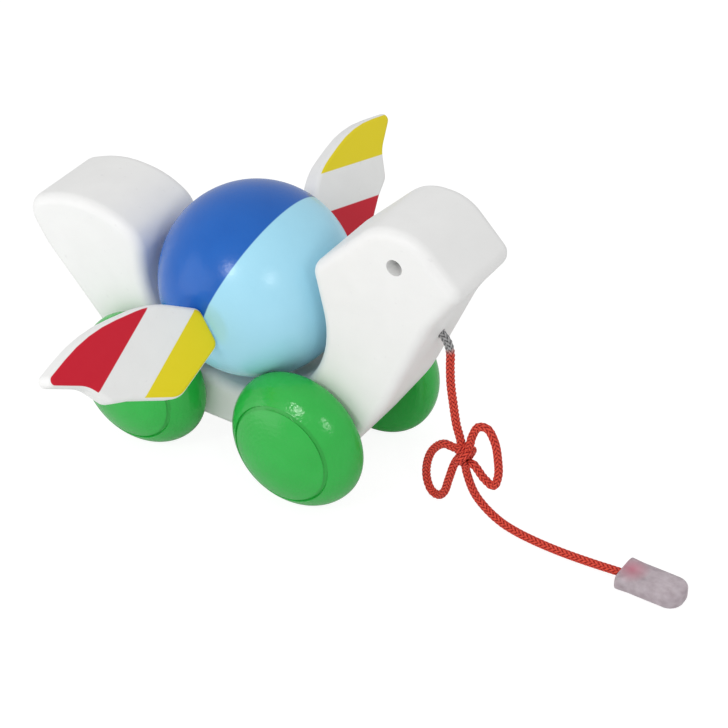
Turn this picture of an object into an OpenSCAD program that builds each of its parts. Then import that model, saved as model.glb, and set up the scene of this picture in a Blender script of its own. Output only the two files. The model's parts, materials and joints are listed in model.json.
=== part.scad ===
// Pull-along bird. A sawn board carries two axles, and a big ball rests on the shoulders of the
// four wheels, so the wheels turn the ball and the ball carries the wings round with it.
// +X is forward, +Y is the bird's left and +Z is up, with the floor at Z = 0.

/* [Ball] */
// Diameter of the turned ball
ball_d = 70; // [64:1:76]
// Diameter of the flat at each pole, where a wing root seats
pole_flat_d = 20; // [18:0.5:24]

/* [Wheels and axles] */
// Diameter of a wheel
wheel_d = 52; // [48:0.2:56]
// Width of a wheel from its flat inner face to the crown of its dome
wheel_w = 21.6; // [19:0.2:24]
// Radius of the inner shoulder, on which the ball rests
inner_shoulder_r = 5.2; // [4:0.2:7]
// Diameter of the ring groove on the dome
groove_d = 37.6; // [28:0.2:44]
// Width of the ring groove
groove_w = 1.2; // [0.6:0.1:2]
// Depth of the ring groove
groove_depth = 0.7; // [0.3:0.1:1.2]
// Distance between the two axles
wheelbase = 67; // [63:1:72]
// Diameter of the axle dowels
axle_d = 8; // [6:0.5:10]
// Depth of the blind bore that takes an axle's end in a wheel
wheel_bore_depth = 11; // [8:0.5:13]

/* [Body board] */
// Thickness of the board
board_t = 36; // [30:1:40]
// Radius of the rounded edges
edge_r = 4; // [2:0.5:5]
// Room between the ball and its cradle
cradle_gap = 3.5; // [2.5:0.5:6]
// Distance of the cradle's centre ahead of the ball's centre
cradle_shift = 1; // [0:0.5:2]
// Distance of the cradle's centre above the ball's centre
cradle_lift = 1.6; // [0:0.2:2]
// Wood below an axle's centre line
axle_cover = 13.7; // [12:0.1:17]
// Height of the crown of the head above the ball's centre
head_h = 52; // [48:1:58]
// Height of the beak above the ball's centre
beak_h = 34.8; // [30:0.4:38]
// Reach of the beak ahead of the cradle
head_reach = 53.6; // [50:0.4:60]
// Length of the crown before its corners are rounded
crown_l = 16.4; // [13:0.2:19]
// Reach of the tail behind the cradle
tail_reach = 54; // [50:1:60]
// Height of the tail's crest above the ball's centre, before its corners are rounded
tail_h = 20.3; // [18:0.1:24]
// Length of the crest before its corners are rounded
crest_l = 19.7; // [16:0.1:23]
// Height of the tail's tip above the ball's centre
tail_tip_h = 11.3; // [9:0.1:14]
// Diameter of the eye, a hole through the head
eye_d = 6; // [4:0.5:8]

/* [Wings] */
// Length of a wing from its root to its tip
wing_l = 72; // [66:1:80]
// Thickness of a wing
wing_t = 7.5; // [7:0.5:9]
// Radius of a wing's rounded edges
wing_edge_r = 1.8; // [1:0.1:2.4]
// Reach of the broad upper edge from the turning axis
wing_top = 23; // [20:0.5:24]
// Reach of the lower lobe from the turning axis
wing_bottom = 15.6; // [13:0.2:17]
// Distance of the lower lobe from the root
wing_lobe_l = 25; // [22:0.5:28]
// Height of the tip above the turning axis
wing_tip_h = 17; // [14:0.5:18]
// Length of the tip beyond the step in the lower edge
wing_tip_l = 21.4; // [19:0.2:24]
// Reach of the root above the turning axis
wing_root_top = 5.6; // [4.6:0.2:7]
// Reach of the root below the turning axis
wing_root_bottom = 8.8; // [7.6:0.2:9.4]
// Tilt of the wings from level, towards the tail
wing_tilt = 121; // [0:1:360]
// Lean of the wings away from their painted faces, from square to the turning axis
wing_lean = 4.5; // [0:0.5:6]
// Diameter of the dowel that pegs a wing to the ball
peg_d = 4; // [3:0.5:5]
// Depth of a peg in the ball
peg_in_ball = 15; // [10:1:20]
// Depth of a peg in a wing
peg_in_wing = 16; // [10:1:20]

/* [Pull cord] */
// Diameter of the braided cord
cord_d = 3.2; // [2.4:0.1:3.6]
// Diameter of the knot of the bow
knot_d = 10; // [9:0.5:11]
// Length of the clear tab at the cord's end
tab_l = 23.5; // [20:0.5:27]
// Width of the tab
tab_w = 13.4; // [11:0.2:15]
// Height of the tab
tab_h = 6.4; // [5.6:0.2:8]
// Depth of the cord in the tab
tab_bore_depth = 9; // [6:0.5:12]

/* [Fits] */
// Radial clearance of an axle in the board
running_clearance = 0.08; // [0.04:0.01:0.1]
// Radial clearance of a glued dowel in its hole
glue_clearance = 0.03; // [0.01:0.01:0.05]
// Radial clearance of the cord in its holes
cord_clearance = 0.2; // [0.1:0.05:0.4]
// Side gap between a wheel and the board
wheel_side_gap = 1.2; // [0.6:0.1:1.6]
// Gap between the ball and the wheels that carry it
rolling_gap = 0.3; // [0.2:0.05:0.4]

/* [Hidden] */
$fn = 96;

// Colours of the painted wood, the bare dowels, the cord and the tab
white_paint = "#ECECEA";
green_paint = "#34B24A";
blue_paint = "#2563BE";
bare_wood = "#D9B98A";
red_cord = "#D8402F";
clear_tab = "#B9AEB9";

// Turn between neighbouring points of a rounded corner, in degrees
arc_step = 6;
// Steps across a rounded edge
edge_steps = 5;
// Steps round the ball's cradle
cradle_steps = 37;
// Steps round the inner shoulder of a wheel
inner_shoulder_steps = 12;
// Steps across the dome of a wheel, outside and inside its groove
dome_outer_steps = 12;
dome_inner_steps = 8;
// Sides of the cord's tube
cord_sides = 8;
// Overrun of a cut past the face that it opens
cut = 1;

// The ball sits where its sphere meets the round inner shoulders of all four wheels
axle_z = wheel_d / 2;
wheel_in_y = board_t / 2 + wheel_side_gap;
shoulder_ring_r = wheel_d / 2 - inner_shoulder_r;
shoulder_y = wheel_in_y + inner_shoulder_r;
contact_reach = ball_d / 2 + inner_shoulder_r + rolling_gap;
axle_to_ball = shoulder_ring_r + sqrt(contact_reach ^ 2 - shoulder_y ^ 2);
ball_above_axle = sqrt(axle_to_ball ^ 2 - (wheelbase / 2) ^ 2);
ball_z = axle_z + ball_above_axle;
flat_y = sqrt((ball_d / 2) ^ 2 - (pole_flat_d / 2) ^ 2);

// Points of an arc about c from angle a to angle b
function arc(c, r, a, b, steps) = [
    for (i = [0 : steps])
        let (t = a + (b - a) * i / steps)
        c + r * [cos(t), sin(t)]
];

function unit(v) = v / norm(v);

function turned(v, t) = [v[0] * cos(t) - v[1] * sin(t), v[0] * sin(t) + v[1] * cos(t)];

// Where the line through p with heading a meets the line through q with heading b
function meet(p, a, q, b) =
    let (u = [cos(a), sin(a)], v = [cos(b), sin(b)])
    p + u * cross(q - p, v) / cross(u, v);

// Arc that rounds corner b of the path a, b, c, kept within the two edges that meet there.
// Each is an [x, y, r] corner, and two rounded corners share the edge between them.
function corner(a, b, c) =
    let (
        p = [b[0], b[1]],
        before = [a[0], a[1]] - p,
        after = [c[0], c[1]] - p,
        u = unit(before),
        v = unit(after),
        half = acos(u * v) / 2,
        room_before = norm(before) * (a[2] == 0 ? 1 : 0.5),
        room_after = norm(after) * (c[2] == 0 ? 1 : 0.5),
        reach = min(b[2] / tan(half), 0.98 * room_before, 0.98 * room_after),
        radius = reach * tan(half),
        centre = p + unit(u + v) * radius / sin(half),
        sweep = (180 - 2 * half) * sign(cross(after, before)),
        steps = max(2, ceil(abs(sweep) / arc_step))
    )
    [for (i = [0 : steps]) centre + turned(p + u * reach - centre, sweep * i / steps)];

// Closed outline of a list of [x, y, r] corners. A corner with no radius stays a point.
function rounded(corners) =
    let (n = len(corners))
    [
        for (i = [0 : n - 1])
            each (
                corners[i][2] == 0
                ? [[corners[i][0], corners[i][1]]]
                : corner(corners[(i + n - 1) % n], corners[i], corners[(i + 1) % n])
            )
    ];

// The outline drawn in by d all round
function drawn_in(outline, d) =
    let (n = len(outline))
    [
        for (i = [0 : n - 1])
            let (
                before = unit(outline[i] - outline[(i + n - 1) % n]),
                after = unit(outline[(i + 1) % n] - outline[i]),
                along = unit(before + after)
            )
            outline[i] + turned(along, 90) * d / (along * after)
    ];

// Whether the corner at place i of the ring of point numbers sticks out with no other point inside it
function is_ear(outline, ring, i) =
    let (
        n = len(ring),
        a = outline[ring[(i + n - 1) % n]],
        b = outline[ring[i]],
        c = outline[ring[(i + 1) % n]],
        within = [
            for (j = ring)
                let (p = outline[j])
                if (p != a && p != b && p != c)
                    if (cross(b - a, p - a) >= 0 && cross(c - b, p - b) >= 0 && cross(a - c, p - c) >= 0)
                        j
        ]
    )
    cross(b - a, c - b) > 0 && len(within) == 0;

function first_ear(outline, ring, i) =
    i == len(ring) - 1 || is_ear(outline, ring, i) ? i : first_ear(outline, ring, i + 1);

// Triangles of point numbers that fill an anticlockwise outline, found by cutting off ear after ear
function ears(outline, ring) =
    let (n = len(ring))
    n == 3
    ? [ring]
    : let (i = first_ear(outline, ring, 0))
        concat(
            [[ring[(i + n - 1) % n], ring[i], ring[(i + 1) % n]]],
            ears(outline, [for (k = [0 : n - 1]) if (k != i) ring[k]])
        );

// Solid through a list of rings, which run anticlockwise about the way they are stacked. Its two ends
// are closed by the same triangles, given as point numbers of one ring.
module loft(rings, end_faces) {
    n = len(rings[0]);
    last = len(rings) - 1;
    sides = [
        for (k = [0 : last - 1], i = [0 : n - 1])
            let (a = k * n + i, b = k * n + (i + 1) % n)
            each [[a, a + n, b + n], [a, b + n, b]]
    ];
    top = [for (f = end_faces) [f[2] + last * n, f[1] + last * n, f[0] + last * n]];
    polyhedron([for (ring = rings) each ring], concat(sides, end_faces, top));
}

// Board of thickness t, from z = -t / 2 to t / 2, whose edges are rounded with radius r
module rounded_board(outline, t, r) {
    // Each level has the distance that the outline is drawn in and the distance from the nearer face
    edge = [for (i = [0 : edge_steps]) let (a = 90 * i / edge_steps) [r * (1 - sin(a)), r * (1 - cos(a))]];
    lower = [for (i = [0 : edge_steps]) [edge[i][0], edge[i][1] - t / 2]];
    upper = [for (i = [edge_steps : -1 : 0]) [edge[i][0], t / 2 - edge[i][1]]];
    rings = [
        for (level = concat(lower, upper))
            [for (p = drawn_in(outline, level[0])) [p[0], p[1], level[1]]]
    ];
    loft(rings, ears(drawn_in(outline, r), [for (i = [0 : len(outline) - 1]) i]));
}

// Side outline of the body about the ball's centre, anticlockwise from the beak
cradle_r = ball_d / 2 + cradle_gap;
cradle_c = [cradle_shift, cradle_lift];
head_x = cradle_shift + cradle_r;
tail_x = cradle_shift - cradle_r;
underside = -ball_above_axle - axle_cover;
nape_angle = 13.5;
lip_angle = 180.4;
nape_heading = 225;
crest_heading = -30;
// Radii of the outline's corners. Those that run into an edge of the cradle stay wider than edge_r.
beak_r = edge_r + 1;
head_r = 17;
nape_r = edge_r + 2;
lip_r = edge_r + 7;
crest_r = 42;
tail_tip_r = edge_r + 6;
rump_r = 40;
belly_r = 22;
breast_r = 60;
throat_r = 40;
// Reach of the flat underside behind the rear axle and ahead of the front axle
belly_back = 3;
belly_front = 9;
beak = [head_x + head_reach, beak_h];
crown_front = [beak[0] - (head_h - beak_h), head_h];
crown_back = crown_front - [crown_l, 0];
tail_tip = [tail_x - tail_reach, tail_tip_h];
crest_back = [tail_tip[0] + 21.2, tail_h];
crest_front = crest_back + [crest_l, -1.2];
rump = tail_tip + [9, -15.8];
breast = [crown_front[0] - 12, -22];
throat = beak - [11.6, 16.3];
function on_cradle(t) = cradle_c + cradle_r * [cos(t), sin(t)];
nape = meet(crown_back, nape_heading, on_cradle(nape_angle), nape_angle + 90);
lip = meet(crest_front, crest_heading, on_cradle(lip_angle), lip_angle + 90);
function with_radius(p, r) = [p[0], p[1], r];
body_corners = concat(
    [
        with_radius(beak, beak_r),
        with_radius(crown_front, head_r),
        with_radius(crown_back, head_r),
        with_radius(nape, nape_r)
    ],
    [for (p = arc(cradle_c, cradle_r, nape_angle, lip_angle - 360, cradle_steps)) with_radius(p, 0)],
    [
        with_radius(lip, lip_r),
        with_radius(crest_front, crest_r),
        with_radius(crest_back, crest_r),
        with_radius(tail_tip, tail_tip_r),
        with_radius(rump, rump_r),
        with_radius([-wheelbase / 2 - belly_back, underside], belly_r),
        with_radius([wheelbase / 2 + belly_front, underside], belly_r),
        with_radius(breast, breast_r),
        with_radius(throat, throat_r)
    ]
);
body_side = rounded(body_corners);
beak_x = max([for (p = body_side) p[0]]);
tail_end_x = min([for (p = body_side) p[0]]);
// Place of the ball's centre, with the body centred over the origin
ball_x = -(beak_x + tail_end_x) / 2;
eye = crown_front - [7.8, 13];

// Outline of a wing from its root outwards, with the turning axis along the first coordinate
wing_corners = [
    [0, wing_root_top, 4],
    [0, -wing_root_bottom, 3.5],
    [wing_lobe_l, -wing_bottom, 9],
    [wing_l - wing_tip_l - 8.6, -5.8, 4],
    [wing_l - wing_tip_l, -2.2, 5],
    [wing_l - wing_tip_l + 5.4, wing_tip_h - 9.8, 12],
    [wing_l, wing_tip_h, wing_edge_r + 0.6],
    [wing_l / 2 + 10, wing_top, 70],
    [17, wing_top - 5.4, 35]
];

// Route of the cord, as points chosen by hand in millimetres
cord_upper_route = [
    [64.6, 0, 79.2], [73.4, 0, 73.2], [76.4, 0, 70.4], [77.8, 0, 66.6], [78, 0, 60], [78.4, 0, 53],
    [79.6, 0, 45], [81, 0, 37], [83, 0, 28.8]
];
bow_rear_route = [
    [81, 0, 26.6], [76, 0.4, 26], [71.4, 1, 21.2], [68.8, 1.4, 13.8], [68.8, 1.4, 6.8], [71, 1, 2.6],
    [74.4, 0, 2.6], [77.4, -0.8, 6.2], [79.2, -1, 12.6], [81.6, -0.4, 21.4]
];
bow_front_route = [
    [86.2, 0, 28.4], [87.2, 0.4, 33.8], [89.4, 0.8, 38.6], [92.8, 1, 39], [95.8, 1, 34.6],
    [97.4, 0.8, 28], [98, 0.4, 21.2], [96.8, -0.4, 16.8], [93.4, -0.8, 18.6], [88.2, -0.4, 22.8]
];
cord_lower_route = [
    [85.4, 0, 20.6], [86.6, 0, 15.2], [89.4, 0, 9.6], [94, 0, 5.2], [100.4, -0.6, 2.4], [107.4, -1.6, 1.7],
    [115.4, -2.4, 1.7], [123.4, -2.6, 1.7], [131.4, -2.4, 1.8], [139.4, -2.2, 2.2], [147.8, -2, 2.8],
    [158, -2, 3.2]
];
knot_c = [84.5, 0, 24.8];

// Tube of the cord along a route, with one ring at each of its points
module cord_tube(route) {
    last = len(route) - 1;
    rings = [
        for (i = [0 : last])
            let (
                way = unit(route[min(i + 1, last)] - route[max(i - 1, 0)]),
                side = unit(cross([0, 1, 0], way)),
                other = cross(way, side)
            )
            [
                for (k = [0 : cord_sides - 1])
                    let (t = 360 * (k + 0.5) / cord_sides)
                    route[i] + cord_d / 2 * (cos(t) * side + sin(t) * other)
            ]
    ];
    loft(rings, [for (k = [1 : cord_sides - 2]) [0, k, k + 1]]);
}

// Places what is drawn about a route's first point and along its first stretch
module at_start(route) {
    way = unit(route[1] - route[0]);
    translate(route[0])
        rotate([0, acos(way[2]), atan2(way[1], way[0])])
            children();
}

// Hole of diameter d along Y through the whole board
module cross_hole(x, z, d) {
    translate([x, 0, z])
        rotate([90, 0, 0])
            cylinder(d = d, h = board_t + 2 * cut, center = true);
}

module body() {
    cord_hole_l = norm(cord_upper_route[1] - cord_upper_route[0]) + edge_r;
    color(white_paint)
        difference() {
            translate([ball_x, 0, ball_z])
                rotate([90, 0, 0])
                    rounded_board(body_side, board_t, edge_r);
            for (end = [-1, 1])
                cross_hole(ball_x + end * wheelbase / 2, axle_z, axle_d + 2 * running_clearance);
            cross_hole(ball_x + eye[0], ball_z + eye[1], eye_d);
            at_start(cord_upper_route)
                cylinder(d = cord_d + 2 * cord_clearance, h = cord_hole_l);
        }
}

// Axle dowel, glued into the blind bores of its two wheels
module axle(end) {
    color(bare_wood)
        translate([ball_x + end * wheelbase / 2, 0, axle_z])
            rotate([90, 0, 0])
                cylinder(d = axle_d, h = 2 * (wheel_in_y + wheel_bore_depth), center = true);
}

// Half section of a wheel: distance from the axis, then distance from the inner face. The outer side is
// a quarter of an ellipse, from the widest ring to the crown, with the groove cut square to it.
wheel_bore_r = axle_d / 2 + glue_clearance;
crown_rise = wheel_w - inner_shoulder_r;
function on_dome(t) = [wheel_d / 2 * cos(t), inner_shoulder_r + crown_rise * sin(t)];
function dome_arc(a, b, steps) = [for (i = [0 : steps]) on_dome(a + (b - a) * i / steps)];
groove_out_angle = acos((groove_d + groove_w) / wheel_d);
groove_in_angle = acos((groove_d - groove_w) / wheel_d);
groove_angle = (groove_out_angle + groove_in_angle) / 2;
groove_sink = groove_depth * unit([crown_rise * cos(groove_angle), wheel_d / 2 * sin(groove_angle)]);
wheel_section = concat(
    [[wheel_bore_r, 0]],
    arc([shoulder_ring_r, inner_shoulder_r], inner_shoulder_r, -90, 0, inner_shoulder_steps),
    dome_arc(groove_out_angle / dome_outer_steps, groove_out_angle, dome_outer_steps - 1),
    [on_dome(groove_out_angle) - groove_sink, on_dome(groove_in_angle) - groove_sink],
    dome_arc(groove_in_angle, 90, dome_inner_steps),
    [[0, wheel_bore_depth], [wheel_bore_r, wheel_bore_depth]]
);

module wheel(end, side) {
    color(green_paint)
        translate([ball_x + end * wheelbase / 2, side * wheel_in_y, axle_z])
            rotate([-90 * side, 0, 0])
                rotate_extrude()
                    polygon(wheel_section);
}

// Places what is drawn from the middle of the left wing's root along X, with the upper edge along Y
module at_left_root() {
    translate([ball_x, flat_y, ball_z])
        rotate([0, -wing_tilt, 0])
            rotate([180, 0, 90])
                rotate([0, wing_lean, 0])
                    children();
}

// Dowel through the root, from its depth in the ball to its depth in the wing
module left_dowel(d) {
    at_left_root()
        translate([-peg_in_ball, 0, 0])
            rotate([0, 90, 0])
                cylinder(d = d, h = peg_in_ball + peg_in_wing);
}

module ball() {
    hole_d = peg_d + 2 * glue_clearance;
    color(blue_paint)
        difference() {
            translate([ball_x, 0, ball_z])
                rotate([90, 0, 0])
                    intersection() {
                        sphere(d = ball_d);
                        cylinder(d = ball_d + 2 * cut, h = 2 * flat_y, center = true);
                    }
            left_dowel(hole_d);
            mirror([0, 1, 0])
                left_dowel(hole_d);
        }
}

module left_wing_peg() {
    color(bare_wood)
        left_dowel(peg_d);
}

module right_wing_peg() {
    mirror([0, 1, 0])
        left_wing_peg();
}

module left_wing() {
    // Wood past the root, which is planed square to the turning axis where it seats on the ball
    planed = wing_t / 2 * tan(wing_lean);
    color(white_paint)
        difference() {
            at_left_root()
                translate([-planed, 0, 0])
                    rounded_board(rounded(wing_corners), wing_t, wing_edge_r);
            left_dowel(peg_d + 2 * glue_clearance);
            translate([ball_x, 0, ball_z])
                rotate([-90, 0, 0])
                    cylinder(d = ball_d, h = flat_y);
        }
}

module right_wing() {
    mirror([0, 1, 0])
        left_wing();
}

module bow_knot() {
    color(red_cord)
        translate(knot_c)
            sphere(d = knot_d);
}

// Clear tab moulded round the cord's end, rounded at its free end
module cord_end_tab() {
    last = len(cord_lower_route) - 1;
    cord_end = cord_lower_route[last];
    tab_side = rounded([
        [0, -tab_w / 2, 1.5],
        [tab_l, -tab_w / 2, 5],
        [tab_l, tab_w / 2, 5],
        [0, tab_w / 2, 1.5]
    ]);
    color(clear_tab)
        translate([cord_end[0] - tab_bore_depth, cord_end[1], 0])
            difference() {
                linear_extrude(tab_h)
                    polygon(tab_side);
                translate([-cut, 0, cord_end[2]])
                    rotate([0, 90, 0])
                        cylinder(d = cord_d + 2 * cord_clearance, h = tab_bore_depth + cut);
            }
}

body();
axle(1);  // front_axle
axle(-1);  // rear_axle
wheel(1, 1);  // front_left_wheel
wheel(1, -1);  // front_right_wheel
wheel(-1, 1);  // rear_left_wheel
wheel(-1, -1);  // rear_right_wheel
ball();
left_wing_peg();
right_wing_peg();
left_wing();
right_wing();
color(red_cord) cord_tube(cord_upper_route);  // pull_cord_upper
bow_knot();
color(red_cord) cord_tube(bow_rear_route);  // bow_loop_rear
color(red_cord) cord_tube(bow_front_route);  // bow_loop_front
color(red_cord) cord_tube(cord_lower_route);  // pull_cord_lower
cord_end_tab();
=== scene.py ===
# %% [markdown]
# # A wooden pull-along bird
# The toy is a bird sawn from one thick board. Four green wheels carry it, and a big ball rests on
# the shoulders of those wheels, so the ball and the wings pegged to it go round as the toy is
# pulled. The solids come from the CAD part, already in place and in metres, and this lesson gives
# them paint, a braided cord, light and a camera.

import json
import math

import bmesh
import bpy
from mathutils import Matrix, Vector


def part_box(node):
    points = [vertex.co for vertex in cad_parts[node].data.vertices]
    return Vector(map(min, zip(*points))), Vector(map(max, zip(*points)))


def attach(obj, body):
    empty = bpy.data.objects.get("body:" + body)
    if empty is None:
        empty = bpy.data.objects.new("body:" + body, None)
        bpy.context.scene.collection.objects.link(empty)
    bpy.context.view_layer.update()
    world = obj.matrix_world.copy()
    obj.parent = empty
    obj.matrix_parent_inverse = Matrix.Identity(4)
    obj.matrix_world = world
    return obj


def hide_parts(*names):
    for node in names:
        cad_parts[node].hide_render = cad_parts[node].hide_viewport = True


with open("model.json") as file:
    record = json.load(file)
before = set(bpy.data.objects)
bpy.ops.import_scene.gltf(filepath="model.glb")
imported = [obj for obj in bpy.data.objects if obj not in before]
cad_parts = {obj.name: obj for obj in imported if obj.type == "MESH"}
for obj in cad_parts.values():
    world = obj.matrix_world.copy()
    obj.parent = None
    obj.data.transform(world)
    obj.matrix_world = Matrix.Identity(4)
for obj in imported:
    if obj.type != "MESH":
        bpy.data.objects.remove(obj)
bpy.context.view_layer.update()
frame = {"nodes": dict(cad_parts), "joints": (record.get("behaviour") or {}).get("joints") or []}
nodes = frame["nodes"]

# %% [markdown]
# ## Where things are
# Every later step needs the ball's centre and the two axles. The part's joints turn about them, so
# they are read from the joints and never typed again. The bird faces +X and its right side is -Y.

# %% Centres that the toy turns about
MM = 0.001
turns_at = {joint["name"]: Vector(joint["pos_m"]) for joint in frame["joints"]}
ball_centre = turns_at["ball_spin"]
front_axle = turns_at["front_axle_spin"]
rear_axle = turns_at["rear_axle_spin"]
print("ball centre in mm:", [round(c / MM, 2) for c in ball_centre])

# %% [markdown]
# ## The camera
# The photograph was taken with a long lens from the bird's right, ahead of it and above it. The
# camera is placed by its distance and direction from the ball, and its own pitch and heading aim it
# a little off the ball, as the picture is framed. A focal length in pixels becomes a lens in
# millimetres once the sensor width is known.

# %% Place the camera
PICTURE_PX = 728
FOCAL_PX = 2379.3
SENSOR_MM = 36.0
camera_distance = 839.1 * MM
camera_from_heading, camera_from_height = math.radians(36.04), math.radians(33.99)
camera_heading, camera_pitch = math.radians(32.94), math.radians(36.10)


def direction(heading, height):
    """Unit vector that points from the toy to a viewer at that heading and height."""
    level = math.cos(height)
    return Vector((math.sin(heading) * level, -math.cos(heading) * level, math.sin(height)))


camera_data = bpy.data.cameras.new("camera")
camera_data.sensor_width = SENSOR_MM
camera_data.lens = SENSOR_MM * FOCAL_PX / PICTURE_PX
camera = bpy.data.objects.new("camera", camera_data)
camera.location = ball_centre + camera_distance * direction(camera_from_heading, camera_from_height)
camera.rotation_euler = (-direction(camera_heading, camera_pitch)).to_track_quat("-Z", "Y").to_euler()
bpy.context.scene.collection.objects.link(camera)
bpy.context.scene.camera = camera
print("lens in mm:", round(camera_data.lens, 2))

# %% [markdown]
# ## Colours and nodes
# Paint colours are written as the eye sees them on a screen, in sRGB hex. Shaders work with linear
# light, so one function turns hex into linear numbers. Another adds a node with its settings and
# what feeds it. Two more join a shader to its three usual inputs and put a finished material on
# solids, which keeps each material short enough to read.


# %% Helpers for materials
def linear(hex_colour):
    """Linear RGBA of an sRGB colour such as #34B24A."""
    parts = [int(hex_colour[i : i + 2], 16) / 255 for i in (1, 3, 5)]
    light = [c / 12.92 if c <= 0.04045 else ((c + 0.055) / 1.055) ** 2.4 for c in parts]
    return (*light, 1.0)


def add(tree, kind, inputs=None, **settings):
    """Adds a node. An input that is a socket is linked, and any other is set."""
    node = tree.nodes.new(kind)
    for name, value in settings.items():
        setattr(node, name, value)
    for name, value in (inputs or {}).items():
        if isinstance(value, bpy.types.NodeSocket):
            tree.links.new(value, node.inputs[name])
        else:
            node.inputs[name].default_value = value
    return node


def new_material(name):
    """An empty material, its node tree and the shader that it ends in."""
    material = bpy.data.materials.new(name)
    material.use_nodes = True
    tree = material.node_tree
    return material, tree, tree.nodes["Principled BSDF"]


def connect(tree, shader, colour, rough, bump):
    """Feeds the colour, the roughness and the normal of a shader from three sockets."""
    tree.links.new(colour, shader.inputs["Base Color"])
    tree.links.new(rough, shader.inputs["Roughness"])
    tree.links.new(bump, shader.inputs["Normal"])


def paint(names, material):
    """Gives solids one material in place of their own."""
    for name in names:
        nodes[name].data.materials.clear()
        nodes[name].data.materials.append(material)


print("white paint in linear light:", [round(c, 3) for c in linear("#EFEFED")])

# %% [markdown]
# ## The pull cord
# The cord is a red braided line 3.2 mm thick. It leaves a hole in the breast, hangs down, is tied in
# a bow and then lies on the floor up to a clear tab. It could be a plain round curve with a bump
# map, but the braid shows in the photograph, so the strands themselves are modelled. First comes
# the route, which is the same one that the solid part follows, point by point in millimetres.

# %% Route of the cord
CORD_D = 3.2 * MM
to_knot_mm = [
    (64.6, 0, 79.2), (69, 0, 76.2), (73.4, 0, 73.2), (76.4, 0, 70.4), (77.8, 0, 66.6), (78, 0, 60),
    (78.4, 0, 53), (79.6, 0, 45), (81, 0, 37), (83, 0, 28.8),
]
rear_loop_mm = [
    (81, 0, 26.6), (76, 0.4, 26), (71.4, 1, 21.2), (68.8, 1.4, 13.8), (68.8, 1.4, 6.8), (71, 1, 2.6),
    (74.4, 0, 2.6), (77.4, -0.8, 6.2), (79.2, -1, 12.6), (81.6, -0.4, 21.4),
]
front_loop_mm = [
    (86.2, 0, 28.4), (87.2, 0.4, 33.8), (89.4, 0.8, 38.6), (92.8, 1, 39), (95.8, 1, 34.6),
    (97.4, 0.8, 28), (98, 0.4, 21.2), (96.8, -0.4, 16.8), (93.4, -0.8, 18.6), (88.2, -0.4, 22.8),
]
to_tab_mm = [
    (85.4, 0, 20.6), (86.6, 0, 15.2), (89.4, 0, 9.6), (94, 0, 5.2), (100.4, -0.6, 2.4),
    (107.4, -1.6, 1.7), (115.4, -2.4, 1.7), (123.4, -2.6, 1.7), (131.4, -2.4, 1.8), (139.4, -2.2, 2.2),
    (147.8, -2, 2.8), (157.8, -2, 3.2),
]
knot_mm = Vector((84.5, 0, 24.8))
cord_route = [Vector(p) * MM for p in to_knot_mm + rear_loop_mm + front_loop_mm + to_tab_mm]
print("route points:", len(cord_route))

# %% [markdown]
# A smooth line runs through the points, and strands wind round it. Eight run one way and eight the
# other. Where two cross, each strand passes over two and under two, which gives the slanting
# stitches of a braided cord. A strand is a flat tube whose height above the line goes up and down
# with its crossings.


# %% Smooth line and braid
LINE_STEP = 0.4 * MM
STRANDS_EACH_WAY = 8
LAY_LENGTH = 14 * MM
STRAND_HALF_WIDTH = 0.4 * MM
STRAND_HALF_HEIGHT = 0.26 * MM
WEAVE_RISE = 0.17 * MM
STRAND_SIDES = 5


def smooth_line(points, step):
    """Evenly spaced points on a smooth curve through the given ones."""
    padded = [2 * points[0] - points[1], *points, 2 * points[-1] - points[-2]]
    fine = []
    for a, b, c, d in zip(padded, padded[1:], padded[2:], padded[3:]):
        # Knots spaced by the root of the distance keep the curve free of loops at close points
        t1 = max((b - a).length, 1e-9) ** 0.5
        t2 = t1 + max((c - b).length, 1e-9) ** 0.5
        t3 = t2 + max((d - c).length, 1e-9) ** 0.5
        count = max(2, math.ceil(4 * (c - b).length / step))
        for i in range(count):
            t = t1 + (t2 - t1) * i / count
            ab = a.lerp(b, t / t1)
            bc = b.lerp(c, (t - t1) / (t2 - t1))
            cd = c.lerp(d, (t - t2) / (t3 - t2))
            abc = ab.lerp(bc, t / t2)
            bcd = bc.lerp(cd, (t - t1) / (t3 - t1))
            fine.append(abc.lerp(bcd, (t - t1) / (t2 - t1)))
    fine.append(points[-1].copy())
    line, carried = [fine[0]], 0.0
    for a, b in zip(fine, fine[1:]):
        length = (b - a).length
        while carried + length >= step:
            a = a.lerp(b, (step - carried) / length)
            line.append(a)
            length = (b - a).length
            carried = 0.0
        carried += length
    return line


def cross_frames(line):
    """Two directions across the line at each point, carried along without twisting."""
    frames = []
    side = Vector((0, 1, 0))
    for i, point in enumerate(line):
        way = (line[min(i + 1, len(line) - 1)] - line[max(i - 1, 0)]).normalized()
        side = (side - side.dot(way) * way).normalized()
        frames.append((side, way.cross(side), way))
    return frames


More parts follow.
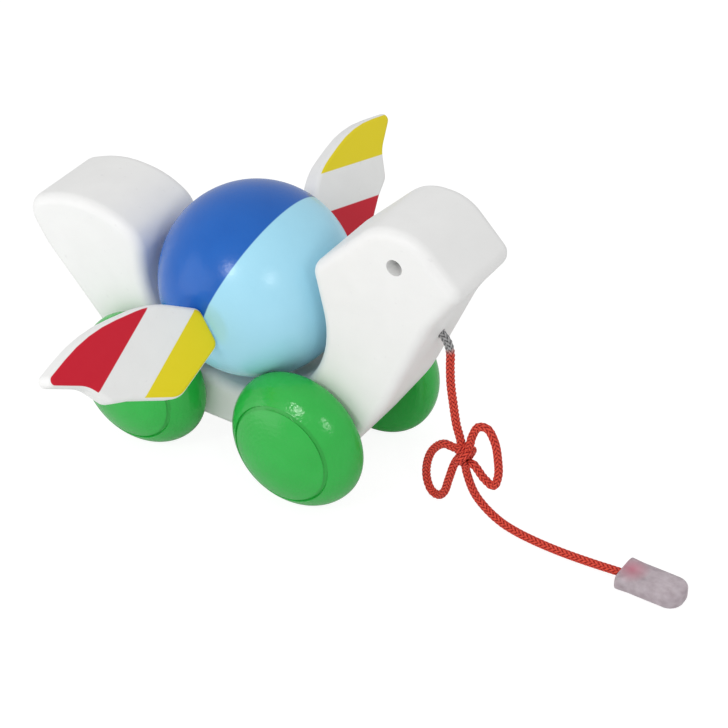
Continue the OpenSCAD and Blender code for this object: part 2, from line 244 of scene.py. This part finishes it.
def braid(mesh, line, phase=0.0, start=0.0):
    """Adds the strands of a braid round a line to a bmesh, and keeps each vertex's place on it."""
    along_layer = mesh.verts.layers.float.get("along") or mesh.verts.layers.float.new("along")
    height_layer = mesh.verts.layers.float.get("height") or mesh.verts.layers.float.new("height")
    frames = cross_frames(line)
    middle_r = CORD_D / 2 - STRAND_HALF_HEIGHT - WEAVE_RISE
    lay_angle = math.atan2(2 * math.pi * middle_r, LAY_LENGTH)
    for hand in (1, -1):
        for k in range(STRANDS_EACH_WAY):
            rings = []
            for i, (point, (side, up, way)) in enumerate(zip(line, frames)):
                turn = i * LINE_STEP / LAY_LENGTH
                angle = 2 * math.pi * (hand * turn + k / STRANDS_EACH_WAY) + phase
                crossing = 2 * k + hand * 2 * STRANDS_EACH_WAY * turn
                rise = hand * WEAVE_RISE * math.cos(math.pi * (crossing - 0.5) / 2)
                out = math.cos(angle) * side + math.sin(angle) * up
                round_way = -math.sin(angle) * side + math.cos(angle) * up
                across = math.cos(lay_angle) * round_way - hand * math.sin(lay_angle) * way
                centre = point + (middle_r + rise) * out
                ring = []
                for s in range(STRAND_SIDES):
                    a = 2 * math.pi * (s + 0.25) / STRAND_SIDES
                    place = centre + STRAND_HALF_WIDTH * math.cos(a) * across
                    place += STRAND_HALF_HEIGHT * math.sin(a) * out
                    vertex = mesh.verts.new(place)
                    vertex[along_layer] = start + i * LINE_STEP
                    vertex[height_layer] = (rise + STRAND_HALF_HEIGHT * math.sin(a)) / MM
                    ring.append(vertex)
                rings.append(ring)
            for a, b in zip(rings, rings[1:]):
                for s in range(STRAND_SIDES):
                    t = (s + 1) % STRAND_SIDES
                    mesh.faces.new((a[s], a[t], b[t], b[s]))
            mesh.faces.new(rings[0][::-1])
            mesh.faces.new(rings[-1])


def piece_from(mesh, name, body):
    """Turns a bmesh into a smooth piece that rides on a body and takes a finish."""
    bmesh.ops.recalc_face_normals(mesh, faces=mesh.faces)
    data = bpy.data.meshes.new(name)
    mesh.to_mesh(data)
    mesh.free()
    data.shade_smooth()
    piece = bpy.data.objects.new(name, data)
    bpy.context.scene.collection.objects.link(piece)
    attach(piece, body)
    return piece


cord_line = smooth_line(cord_route, LINE_STEP)
cord_length = LINE_STEP * (len(cord_line) - 1)
cord_mesh = bmesh.new()
braid(cord_mesh, cord_line)
pull_cord = piece_from(cord_mesh, "pull_cord", "bird_body")
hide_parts("pull_cord_upper", "bow_loop_rear", "bow_loop_front", "pull_cord_lower")
print("cord length in mm:", round(cord_length / MM), "faces:", len(pull_cord.data.polygons))

# %% [markdown]
# The knot holds the two loops of the bow. On the real cord it is one more turn of the same line,
# pulled tight round the crossing. A short coil of the same braid, wound round the line from one
# loop to the other, gives that turn, and its ends go inside where nothing shows.

# %% Knot of the bow
KNOT_R = 3.3 * MM
KNOT_TURNS = 1.9
KNOT_POINTS = 26
KNOT_PITCH = 2.32 * MM
END_DRAW = 0.75
END_SHARPNESS = 6
knot_axis = Vector((0.86, 0.0, -0.5))
knot_up = Vector((0.5, 0.0, 0.86))
knot_side = knot_axis.cross(knot_up)
knot_route = []
for i in range(KNOT_POINTS + 1):
    share = i / KNOT_POINTS
    angle = 2 * math.pi * KNOT_TURNS * (share - 0.5)
    # The ends of the coil are drawn in towards its axis
    radius = KNOT_R * (1 - END_DRAW * abs(2 * share - 1) ** END_SHARPNESS)
    shift = KNOT_PITCH * KNOT_TURNS * (share - 0.5)
    across = math.cos(angle) * knot_side + math.sin(angle) * knot_up
    knot_route.append(knot_mm * MM + shift * knot_axis + radius * across)
knot_line = smooth_line(knot_route, LINE_STEP)
knot_mesh = bmesh.new()
braid(knot_mesh, knot_line, phase=0.3, start=cord_length)
bow_knot = piece_from(knot_mesh, "bow_knot_turns", "bird_body")
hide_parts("bow_knot")
print("knot turns:", KNOT_TURNS, "length in mm:", round(LINE_STEP * len(knot_line) / MM))

# %% [markdown]
# ## The clear tab
# The cord ends in a small tab of frosted clear plastic, moulded round it, so that the braid can't
# come undone. A box with a bevel would be quick, but the real tab is flat and soft-edged, with its
# free end rounded, a slightly flared lip and the cord sunk in its other end. So it is lofted through
# rounded cross sections, from the free end to the lip and then back down the hole.

# %% Tab at the end of the cord
tab_low, tab_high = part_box("cord_end_tab")
tab_mid = (tab_low + tab_high) / 2
tab_half = (tab_high - tab_low) / 2
cord_end = cord_route[-1]
TAB_RING = 40
TAB_SQUARENESS = 4.5
ROUND_SQUARENESS = 2.0
TAB_NOSE = 5.0 * MM
TAB_EDGE = 1.3 * MM
TAB_LIP = 0.8 * MM
TAB_FLARE = 0.4 * MM
TAB_FLARE_LENGTH = 5 * MM
TAB_HOLE_R = 1.85 * MM
TAB_HOLE_DEPTH = 9 * MM
CORNER_STEPS = 6


def tab_ring(mesh, x, y, z, half_width, half_height, squareness):
    """A rounded cross section of the tab at x, from an ellipse up to nearly a rectangle."""
    ring = []
    for i in range(TAB_RING):
        angle = 2 * math.pi * i / TAB_RING
        c, s = math.cos(angle), math.sin(angle)
        across = half_width * math.copysign(abs(c) ** (2 / squareness), c)
        up = half_height * math.copysign(abs(s) ** (2 / squareness), s)
        ring.append(mesh.verts.new((x, y + across, z + up)))
    return ring


# Each section has its place along the tab and how far its sides and its top are drawn in
sections = []
for i in range(CORNER_STEPS + 1):
    angle = math.radians(90 * i / CORNER_STEPS)
    back, drawn = 1 - math.cos(angle), 1 - math.sin(angle)
    sections.append((tab_high.x - TAB_NOSE * back, TAB_FLARE + TAB_NOSE * drawn, TAB_EDGE * drawn))
sections.append((tab_low.x + TAB_FLARE_LENGTH, TAB_FLARE, 0.0))
for i in range(CORNER_STEPS + 1):
    angle = math.radians(90 * i / CORNER_STEPS)
    back, drawn = 1 - math.sin(angle), 1 - math.cos(angle)
    sections.append((tab_low.x + TAB_LIP * back, TAB_LIP * drawn, TAB_LIP * drawn))

tab_mesh = bmesh.new()
rings = [
    tab_ring(tab_mesh, x, tab_mid.y, tab_mid.z, tab_half.y - side, tab_half.z - top, TAB_SQUARENESS)
    for x, side, top in sections
]
for depth in (0, TAB_LIP, TAB_HOLE_DEPTH):
    rings.append(tab_ring(
        tab_mesh, tab_low.x + depth, cord_end.y, cord_end.z,
        TAB_HOLE_R, TAB_HOLE_R, ROUND_SQUARENESS,
    ))
for a, b in zip(rings, rings[1:]):
    for i in range(TAB_RING):
        j = (i + 1) % TAB_RING
        tab_mesh.faces.new((a[i], a[j], b[j], b[i]))
tab_mesh.faces.new(rings[0][::-1])
tab_mesh.faces.new(rings[-1])
cord_tab = piece_from(tab_mesh, "clear_tab", "bird_body")
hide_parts("cord_end_tab")
print("tab in mm:", [round(2 * h / MM, 1) for h in tab_half])

# %% [markdown]
# ## Smooth shading on the solids
# The solids arrive as triangles that don't share their corners, so they would look faceted. Their
# meshes must stay as they are, but modifiers may work on top. A small node group merges the corners
# and marks an edge as sharp only where its faces meet at a steep angle. Normals weighted by area then
# keep the big flat faces flat beside their rounded edges.

# %% Soften the solids
SHARP_ANGLE = math.radians(38)
MERGE_DISTANCE = 0.002 * MM
softening = bpy.data.node_groups.new("soften_edges", "GeometryNodeTree")
softening.interface.new_socket("Geometry", in_out="INPUT", socket_type="NodeSocketGeometry")
softening.interface.new_socket("Geometry", in_out="OUTPUT", socket_type="NodeSocketGeometry")
given = add(softening, "NodeGroupInput")
merged = add(softening, "GeometryNodeMergeByDistance", {
    "Geometry": given.outputs["Geometry"], "Distance": MERGE_DISTANCE,
})
rounded = add(softening, "GeometryNodeSetShadeSmooth", {
    "Geometry": merged.outputs["Geometry"], "Shade Smooth": True,
}, domain="FACE")
edge_angle = add(softening, "GeometryNodeInputMeshEdgeAngle")
is_soft = add(softening, "FunctionNodeCompare", {
    0: edge_angle.outputs["Unsigned Angle"], 1: SHARP_ANGLE,
}, operation="LESS_THAN")
shaded = add(softening, "GeometryNodeSetShadeSmooth", {
    "Geometry": rounded.outputs["Geometry"], "Shade Smooth": is_soft.outputs["Result"],
}, domain="EDGE")
add(softening, "NodeGroupOutput", {"Geometry": shaded.outputs["Geometry"]})

for solid in nodes.values():
    own_normals = solid.data.attributes.get("custom_normal")
    if own_normals:
        solid.data.attributes.remove(own_normals)
    soften = solid.modifiers.new("soften", "NODES")
    soften.node_group = softening
    weighted = solid.modifiers.new("weighted_normals", "WEIGHTED_NORMAL")
    weighted.keep_sharp = True
print("softened solids:", len(nodes))

# %% [markdown]
# ## White satin paint on the body
# The board is wood under two coats of white paint, sanded and sprayed. The eye gets an even, slightly
# cool white, a broad dull shine, a hint of grain where the paint sank into the wood, and a few faint
# marks from play. Grain runs along the bird, so the noise is stretched along X.

# %% White paint
GRAIN_WIDTH = 1.1 * MM
GRAIN_LENGTH = 28 * MM
MOTTLE_SIZE = 9 * MM
GRAIN_RELIEF = 0.05 * MM
MARK_SIZE = 2.2 * MM
MARK_STARTS, MARK_FULL = 0.66, 0.8
MARK_STRENGTH = 0.35
PAINT_IOR = 1.48


def white_paint_layers(tree):
    """Object coordinates, colour, roughness and bump of white paint, bare or under stripes."""
    where = add(tree, "ShaderNodeTexCoord").outputs["Object"]
    stretched = add(tree, "ShaderNodeMapping", {
        "Vector": where, "Scale": (GRAIN_WIDTH / GRAIN_LENGTH, 1, 1),
    })
    grain = add(tree, "ShaderNodeTexNoise", {
        "Vector": stretched.outputs["Vector"], "Scale": 1 / GRAIN_WIDTH, "Detail": 2.0,
    })
    mottle = add(tree, "ShaderNodeTexNoise", {
        "Vector": where, "Scale": 1 / MOTTLE_SIZE, "Detail": 3.0,
    })
    marks = add(tree, "ShaderNodeTexNoise", {
        "Vector": where, "Scale": 1 / MARK_SIZE, "Detail": 4.0,
    })
    mark_share = add(tree, "ShaderNodeMapRange", {
        "Value": marks.outputs["Fac"], "From Min": MARK_STARTS, "From Max": MARK_FULL,
        "To Min": 0.0, "To Max": MARK_STRENGTH,
    })
    even = add(tree, "ShaderNodeMix", {
        "Factor": mottle.outputs["Fac"], "A": linear("#EDEDEC"), "B": linear("#F4F4F3"),
    }, data_type="RGBA")
    marked = add(tree, "ShaderNodeMix", {
        "Factor": mark_share.outputs["Result"], "A": even.outputs["Result"], "B": linear("#D6D5D6"),
    }, data_type="RGBA")
    rough = add(tree, "ShaderNodeMapRange", {
        "Value": mottle.outputs["Fac"], "To Min": 0.36, "To Max": 0.5,
    })
    bump = add(tree, "ShaderNodeBump", {
        "Height": grain.outputs["Fac"], "Strength": 0.25, "Distance": GRAIN_RELIEF,
    })
    return where, marked.outputs["Result"], rough.outputs["Result"], bump.outputs["Normal"]


white_paint, tree, shader = new_material("white_satin_paint_on_wood")
_, colour, rough, bump = white_paint_layers(tree)
connect(tree, shader, colour, rough, bump)
shader.inputs["IOR"].default_value = PAINT_IOR
paint(["body"], white_paint)
print("body painted with", white_paint.name)

# %% [markdown]
# ## Striped paint on the wings
# Each wing is white, with one face that has three slanting bands, and the order of the bands differs
# from wing to wing. A picture texture could hold them, but a band is just a range of one number: the
# distance along a slanting direction in the wing's own plane. A second number, the height above the
# wing's middle, keeps the colour off the rounded edges and the back.

# %% Wing stripes
WING_TILT = math.radians(121)
WING_LEAN = math.radians(4.5)
WING_ROOT_Y = 33.541 * MM
WING_HALF_THICKNESS = 3.75 * MM
PAINT_DEPTH = 0.35 * MM
EDGE_BLUR = 0.15 * MM
RIGHT_SLANT, LEFT_SLANT = math.radians(21.4), math.radians(14.5)
WING_YELLOW, WING_RED = "#ECD916", "#CE102C"
wing_chord = Vector((math.cos(WING_TILT), 0, math.sin(WING_TILT)))
wing_front = Vector((math.sin(WING_TILT), 0, -math.cos(WING_TILT)))


def striped_paint(name, side, slant, inner_band, outer_band):
    """White paint with an inner and an outer band, each a colour and a distance, on the front face."""
    material, tree, shader = new_material(name)
    where, colour, rough, bump = white_paint_layers(tree)
    outwards = Vector((0, side, 0))
    along = math.cos(WING_LEAN) * outwards - math.sin(WING_LEAN) * wing_front
    face = math.cos(WING_LEAN) * wing_front + math.sin(WING_LEAN) * outwards
    root = ball_centre + WING_ROOT_Y * outwards
    across_bands = math.sin(slant) * along + math.cos(slant) * wing_chord
    from_root = add(tree, "ShaderNodeVectorMath", {0: where, 1: root}, operation="SUBTRACT")
    from_root = from_root.outputs["Vector"]
    band = add(tree, "ShaderNodeVectorMath", {
        0: from_root, 1: across_bands,
    }, operation="DOT_PRODUCT").outputs["Value"]
    height = add(tree, "ShaderNodeVectorMath", {
        0: from_root, 1: face,
    }, operation="DOT_PRODUCT").outputs["Value"]
    paint_floor = WING_HALF_THICKNESS - PAINT_DEPTH
    on_face = add(tree, "ShaderNodeMapRange", {
        "Value": height, "From Min": paint_floor - EDGE_BLUR, "From Max": paint_floor,
    }).outputs["Result"]
    for (band_colour, limit), outside in ((inner_band, -1), (outer_band, 1)):
        share = add(tree, "ShaderNodeMapRange", {
            "Value": band,
            "From Min": limit - outside * EDGE_BLUR, "From Max": limit + outside * EDGE_BLUR,
        })
        share = add(tree, "ShaderNodeMath", {
            0: share.outputs["Result"], 1: on_face,
        }, operation="MULTIPLY")
        colour = add(tree, "ShaderNodeMix", {
            "Factor": share.outputs["Value"], "A": colour, "B": linear(band_colour),
        }, data_type="RGBA").outputs["Result"]
    connect(tree, shader, colour, rough, bump)
    shader.inputs["IOR"].default_value = PAINT_IOR
    shader.inputs["Specular IOR Level"].default_value = 0.3
    return material


right_stripes = striped_paint(
    "right_wing_striped_paint", -1, RIGHT_SLANT,
    (WING_YELLOW, 6.9 * MM), (WING_RED, 22.8 * MM),
)
left_stripes = striped_paint(
    "left_wing_striped_paint", 1, LEFT_SLANT,
    (WING_RED, 5.7 * MM), (WING_YELLOW, 19.6 * MM),
)
paint(["right_wing"], right_stripes)
paint(["left_wing"], left_stripes)
print("striped wings:", right_stripes.name, left_stripes.name)

# %% [markdown]
# ## Green enamel on the wheels
# The wheels are turned on a lathe and dipped in green enamel. What shows is a deep even colour, a soft
# gloss, and faint rings left by the turning tool under the paint. The rings follow the distance from
# the nearest axle, so one material serves all four wheels.

# %% Green enamel
RING_SPACING = 1.7 * MM
RING_WEIGHT = 0.07
PEEL_SIZE = 1.2 * MM
WHEEL_RELIEF = 0.14 * MM
WHEEL_BLOTCH = 11 * MM
ENAMEL_IOR = 1.5
axle_mid = (front_axle + rear_axle) / 2
half_wheelbase = (front_axle.x - rear_axle.x) / 2

green_enamel, tree, shader = new_material("green_enamel_on_turned_wood")
where = add(tree, "ShaderNodeTexCoord").outputs["Object"]
from_mid = add(tree, "ShaderNodeVectorMath", {0: where, 1: axle_mid}, operation="SUBTRACT")
split = add(tree, "ShaderNodeSeparateXYZ", {"Vector": from_mid.outputs["Vector"]})
either_end = add(tree, "ShaderNodeMath", {0: split.outputs["X"]}, operation="ABSOLUTE")
from_axle_x = add(tree, "ShaderNodeMath", {
    0: either_end.outputs["Value"], 1: half_wheelbase,
}, operation="SUBTRACT")
in_plane = add(tree, "ShaderNodeCombineXYZ", {
    "X": from_axle_x.outputs["Value"], "Z": split.outputs["Z"],
})
from_axle = add(tree, "ShaderNodeVectorMath", {0: in_plane.outputs["Vector"]}, operation="LENGTH")
ring_angle = add(tree, "ShaderNodeMath", {
    0: from_axle.outputs["Value"], 1: 2 * math.pi / RING_SPACING,
}, operation="MULTIPLY")
tool_rings = add(tree, "ShaderNodeMath", {0: ring_angle.outputs["Value"]}, operation="SINE")
peel = add(tree, "ShaderNodeTexNoise", {"Vector": where, "Scale": 1 / PEEL_SIZE, "Detail": 2.0})
blotch = add(tree, "ShaderNodeTexNoise", {"Vector": where, "Scale": 1 / WHEEL_BLOTCH, "Detail": 3.0})
relief = add(tree, "ShaderNodeMath", {
    0: tool_rings.outputs["Value"], 1: RING_WEIGHT, 2: peel.outputs["Fac"],
}, operation="MULTIPLY_ADD")
bump = add(tree, "ShaderNodeBump", {
    "Height": relief.outputs["Value"], "Strength": 1.0, "Distance": WHEEL_RELIEF,
})
colour = add(tree, "ShaderNodeMix", {
    "Factor": blotch.outputs["Fac"], "A": linear("#22A93C"), "B": linear("#2FB84A"),
}, data_type="RGBA")
rough = add(tree, "ShaderNodeMapRange", {
    "Value": blotch.outputs["Fac"], "To Min": 0.14, "To Max": 0.24,
})
connect(tree, shader, colour.outputs["Result"], rough.outputs["Result"], bump.outputs["Normal"])
shader.inputs["IOR"].default_value = ENAMEL_IOR
wheels = [name for name in nodes if name.endswith("_wheel")]
paint(wheels, green_enamel)
print("wheels painted:", len(wheels))

# %% [markdown]
# ## Two blues on the ball
# The ball is turned wood too, with one half dark blue and the other light blue. The line between
# them is a plane through the wings' axis, so the colour is chosen by the sign of one distance. A
# narrow blend stands for the soft lip of brushed paint at the line.

# %% Blue enamel
BALL_LINE = math.radians(68.4)
LINE_BLUR = 0.2 * MM
BALL_RELIEF = 0.05 * MM
BALL_BLOTCH = 14 * MM
dark_side = Vector((-math.sin(BALL_LINE), 0, math.cos(BALL_LINE)))
blue_enamel, tree, shader = new_material("blue_enamel_on_turned_wood")
where = add(tree, "ShaderNodeTexCoord").outputs["Object"]
from_ball = add(tree, "ShaderNodeVectorMath", {0: where, 1: ball_centre}, operation="SUBTRACT")
past_line = add(tree, "ShaderNodeVectorMath", {
    0: from_ball.outputs["Vector"], 1: dark_side,
}, operation="DOT_PRODUCT")
dark_share = add(tree, "ShaderNodeMapRange", {
    "Value": past_line.outputs["Value"], "From Min": -LINE_BLUR, "From Max": LINE_BLUR,
})
blotch = add(tree, "ShaderNodeTexNoise", {"Vector": where, "Scale": 1 / BALL_BLOTCH, "Detail": 3.0})
peel = add(tree, "ShaderNodeTexNoise", {"Vector": where, "Scale": 1 / PEEL_SIZE, "Detail": 2.0})
dark_blue = add(tree, "ShaderNodeMix", {
    "Factor": blotch.outputs["Fac"], "A": linear("#115BB5"), "B": linear("#1C68C3"),
}, data_type="RGBA")
light_blue = add(tree, "ShaderNodeMix", {
    "Factor": blotch.outputs["Fac"], "A": linear("#A3DDF4"), "B": linear("#ACE4F9"),
}, data_type="RGBA")
colour = add(tree, "ShaderNodeMix", {
    "Factor": dark_share.outputs["Result"],
    "A": light_blue.outputs["Result"], "B": dark_blue.outputs["Result"],
}, data_type="RGBA")
rough = add(tree, "ShaderNodeMapRange", {
    "Value": blotch.outputs["Fac"], "To Min": 0.2, "To Max": 0.29,
})
bump = add(tree, "ShaderNodeBump", {
    "Height": peel.outputs["Fac"], "Strength": 1.0, "Distance": BALL_RELIEF,
})
connect(tree, shader, colour.outputs["Result"], rough.outputs["Result"], bump.outputs["Normal"])
shader.inputs["IOR"].default_value = ENAMEL_IOR
shader.inputs["Specular IOR Level"].default_value = 0.35
paint(["ball"], blue_enamel)
print("ball line in degrees from level:", round(math.degrees(BALL_LINE), 1))

# %% [markdown]
# ## Bare beech dowels
# The axles and the wing pegs are plain beech dowels, glued in and left unpainted. Only a sliver of an
# axle shows between a wheel and the board: pale straw wood with short dark flecks along its length.

# %% Beech
FLECK_WIDTH = 0.5 * MM
FLECK_LENGTH = 6 * MM
beech, tree, shader = new_material("bare_beech_dowel")
where = add(tree, "ShaderNodeTexCoord").outputs["Object"]
stretched = add(tree, "ShaderNodeMapping", {
    "Vector": where, "Scale": (1, FLECK_WIDTH / FLECK_LENGTH, 1),
})
flecks = add(tree, "ShaderNodeTexNoise", {
    "Vector": stretched.outputs["Vector"], "Scale": 1 / FLECK_WIDTH, "Detail": 3.0,
})
colour = add(tree, "ShaderNodeMix", {
    "Factor": flecks.outputs["Fac"], "A": linear("#E2C79C"), "B": linear("#C49B66"),
}, data_type="RGBA")
tree.links.new(colour.outputs["Result"], shader.inputs["Base Color"])
shader.inputs["Roughness"].default_value = 0.6
dowels = ["front_axle", "rear_axle", "left_wing_peg", "right_wing_peg"]
paint(dowels, beech)
print("beech dowels:", len(dowels))

# %% [markdown]
# ## Polyester braid
# The cord is braided polyester in a bright warm red. Each filament bundle has a slight silk sheen, and
# the gaps between bundles are darkened with painted shade. The height that the braid stored on its
# points finds the gaps.
# The first stretch below the breast is faded to grey, as the photograph shows it, and the distance
# along the cord finds that stretch.

# %% Red cord
GREY_UNTIL = 19.8 * MM
GREY_BLEND = 2.5 * MM
FILAMENT_SIZE = 0.6 * MM
FULL_SHADE_HEIGHT_MM, STITCH_HEIGHT_MM = 0.05, 0.38
red_braid, tree, shader = new_material("red_polyester_braid")
where = add(tree, "ShaderNodeTexCoord").outputs["Object"]
along = add(tree, "ShaderNodeAttribute", attribute_name="along").outputs["Fac"]
height = add(tree, "ShaderNodeAttribute", attribute_name="height").outputs["Fac"]
filaments = add(tree, "ShaderNodeTexNoise", {"Vector": where, "Scale": 1 / FILAMENT_SIZE, "Detail": 2.0})
# Painted shade: where the braid's stored height is low, in the gaps between bundles, the colour goes
# dark
unshaded_share = add(tree, "ShaderNodeMapRange", {
    "Value": height, "From Min": FULL_SHADE_HEIGHT_MM, "From Max": STITCH_HEIGHT_MM,
})
varied = add(tree, "ShaderNodeMix", {
    "Factor": filaments.outputs["Fac"], "A": linear("#E03426"), "B": linear("#F8664E"),
}, data_type="RGBA")
# The dark red here and the dark grey below are painted shade in the braid's gaps
red = add(tree, "ShaderNodeMix", {
    "Factor": unshaded_share.outputs["Result"], "A": linear("#961414"), "B": varied.outputs["Result"],
}, data_type="RGBA")
grey = add(tree, "ShaderNodeMix", {
    "Factor": unshaded_share.outputs["Result"], "A": linear("#5E5E60"), "B": linear("#B8B8B8"),
}, data_type="RGBA")
grey_share = add(tree, "ShaderNodeMapRange", {
    "Value": along, "From Min": GREY_UNTIL, "From Max": GREY_UNTIL - GREY_BLEND,
})
colour = add(tree, "ShaderNodeMix", {
    "Factor": grey_share.outputs["Result"], "A": red.outputs["Result"], "B": grey.outputs["Result"],
}, data_type="RGBA")
tree.links.new(colour.outputs["Result"], shader.inputs["Base Color"])
shader.inputs["Roughness"].default_value = 0.55
shader.inputs["Sheen Weight"].default_value = 0.05
shader.inputs["Specular IOR Level"].default_value = 0.25
pull_cord.data.materials.append(red_braid)
bow_knot.data.materials.append(red_braid)
print("cord material:", red_braid.name)

# %% [markdown]
# ## Frosted clear plastic
# The tab is a soft clear vinyl with a worn, hazy skin. Light goes in and comes out scattered, so it
# looks grey-lilac on a white floor. A pink cloud painted into its colour stands for the red cord
# showing through. Two fifths of the light pass and the rest is scattered at the skin.

# %% Frosted tab
HAZE_SIZE = 2.6 * MM
HAZE_RELIEF = 0.3 * MM
HAZE_LOW, HAZE_HIGH = 0.34, 0.66
CLOUD_FROM_LIP = 3.5 * MM
CLOUD_R = 6.5 * MM
CLOUD_STRENGTH = 0.9
LIGHT_PASSED = 0.4
frosted, tree, shader = new_material("frosted_clear_vinyl")
where = add(tree, "ShaderNodeTexCoord").outputs["Object"]
haze = add(tree, "ShaderNodeTexNoise", {"Vector": where, "Scale": 1 / HAZE_SIZE, "Detail": 4.0})
haze_share = add(tree, "ShaderNodeMapRange", {
    "Value": haze.outputs["Fac"], "From Min": HAZE_LOW, "From Max": HAZE_HIGH,
})
hazy = add(tree, "ShaderNodeMix", {
    "Factor": haze_share.outputs["Result"], "A": linear("#C0B2B9"), "B": linear("#DBD0D6"),
}, data_type="RGBA")
# Painted show-through: a pink cloud near the lip, round the cord's end, stands for the red cord seen
# through the tab
cloud_middle = Vector((tab_low.x + CLOUD_FROM_LIP, tab_mid.y, tab_high.z))
from_cloud = add(tree, "ShaderNodeVectorMath", {0: where, 1: cloud_middle}, operation="DISTANCE")
painted_cord_tint_share = add(tree, "ShaderNodeMapRange", {
    "Value": from_cloud.outputs["Value"], "From Min": CLOUD_R, "From Max": 0.0,
    "To Max": CLOUD_STRENGTH,
})
colour = add(tree, "ShaderNodeMix", {
    "Factor": painted_cord_tint_share.outputs["Result"], "A": hazy.outputs["Result"], "B": linear("#E27F98"),
}, data_type="RGBA")
rough = add(tree, "ShaderNodeMapRange", {"Value": haze.outputs["Fac"], "To Min": 0.35, "To Max": 0.55})
bump = add(tree, "ShaderNodeBump", {
    "Height": haze.outputs["Fac"], "Strength": 0.4, "Distance": HAZE_RELIEF,
})
connect(tree, shader, colour.outputs["Result"], rough.outputs["Result"], bump.outputs["Normal"])
shader.inputs["IOR"].default_value = 1.53
shader.inputs["Transmission Weight"].default_value = LIGHT_PASSED
cord_tab.data.materials.append(frosted)
print("tab material:", frosted.name)

# %% [markdown]
# ## Floor, world and lamps
# The photograph is a cut-out on white. The floor and the world look white to the camera and through
# the clear tab, and give plain even light to everything else. The floor keeps a part of its own
# shading, so the toy's soft shadow stays on it. Two small softboxes stand left and right of the
# camera, where the highlights on the ball and the wheels put them. A broader one, low and close to the
# tail, lights the side of the board. The breast leans forward over the floor, so it stays in shade.

# %% Floor
FLOOR_SIZE = 3.0
FLOOR_SHADE = 0.25
FLOOR_ALBEDO = 0.84
FLOOR_GLOW = 1.19


def seen_share(tree):
    """A socket that is 1 for rays from the camera or through the clear tab, and else 0."""
    rays = add(tree, "ShaderNodeLightPath")
    seen = add(tree, "ShaderNodeMath", {
        0: rays.outputs["Is Camera Ray"], 1: rays.outputs["Is Transmission Ray"],
    }, operation="MAXIMUM")
    return seen.outputs["Value"]


floor_mesh = bmesh.new()
bmesh.ops.create_grid(floor_mesh, x_segments=8, y_segments=8, size=FLOOR_SIZE)
floor_data = bpy.data.meshes.new("floor")
floor_mesh.to_mesh(floor_data)
floor_mesh.free()
floor = bpy.data.objects.new("floor", floor_data)
bpy.context.scene.collection.objects.link(floor)

white_floor = bpy.data.materials.new("white_floor")
white_floor.use_nodes = True
tree = white_floor.node_tree
tree.nodes.clear()
glow_share = add(tree, "ShaderNodeMath", {
    0: seen_share(tree), 1: 1 - FLOOR_SHADE,
}, operation="MULTIPLY")
matt = add(tree, "ShaderNodeBsdfDiffuse", {"Color": (FLOOR_ALBEDO, FLOOR_ALBEDO, FLOOR_ALBEDO, 1)})
glow = add(tree, "ShaderNodeEmission", {"Color": (1, 1, 1, 1), "Strength": FLOOR_GLOW})
both = add(tree, "ShaderNodeMixShader", {
    0: glow_share.outputs["Value"], 1: matt.outputs["BSDF"], 2: glow.outputs["Emission"],
})
add(tree, "ShaderNodeOutputMaterial", {"Surface": both.outputs["Shader"]})
floor_data.materials.append(white_floor)
print("floor share that keeps shade:", FLOOR_SHADE)

# %% World and lamps
WORLD_LIGHT = 0.7
world = bpy.data.worlds.new("studio")
bpy.context.scene.world = world
world.use_nodes = True
tree = world.node_tree
tree.nodes.clear()
strength = add(tree, "ShaderNodeMapRange", {
    "Value": seen_share(tree), "To Min": WORLD_LIGHT, "To Max": 1.0,
})
sky = add(tree, "ShaderNodeBackground", {
    "Color": (1, 1, 1, 1), "Strength": strength.outputs["Result"],
})
add(tree, "ShaderNodeOutputWorld", {"Surface": sky.outputs["Background"]})

# Each lamp has a name, a direction from the toy, a distance, a size and a power in watts
lamps = [
    ("left_softbox", (-0.06, -0.79, 0.61), 1.2, 0.2, 2.6),
    ("right_softbox", (0.69, -0.51, 0.52), 1.2, 0.18, 1.3),
    ("low_softbox", (-0.62, -0.78, 0.08), 0.45, 0.36, 0.4),
]
for name, towards, distance, size, power in lamps:
    lamp = bpy.data.lights.new(name, "AREA")
    lamp.shape = "SQUARE"
    lamp.size = size
    lamp.energy = power
    lamp_object = bpy.data.objects.new(name, lamp)
    away = Vector(towards).normalized()
    lamp_object.location = ball_centre + distance * away
    lamp_object.rotation_euler = (-away).to_track_quat("-Z", "Y").to_euler()
    bpy.context.scene.collection.objects.link(lamp_object)
bpy.context.scene.view_settings.view_transform = "Standard"
print("lamps:", [lamp[0] for lamp in lamps])
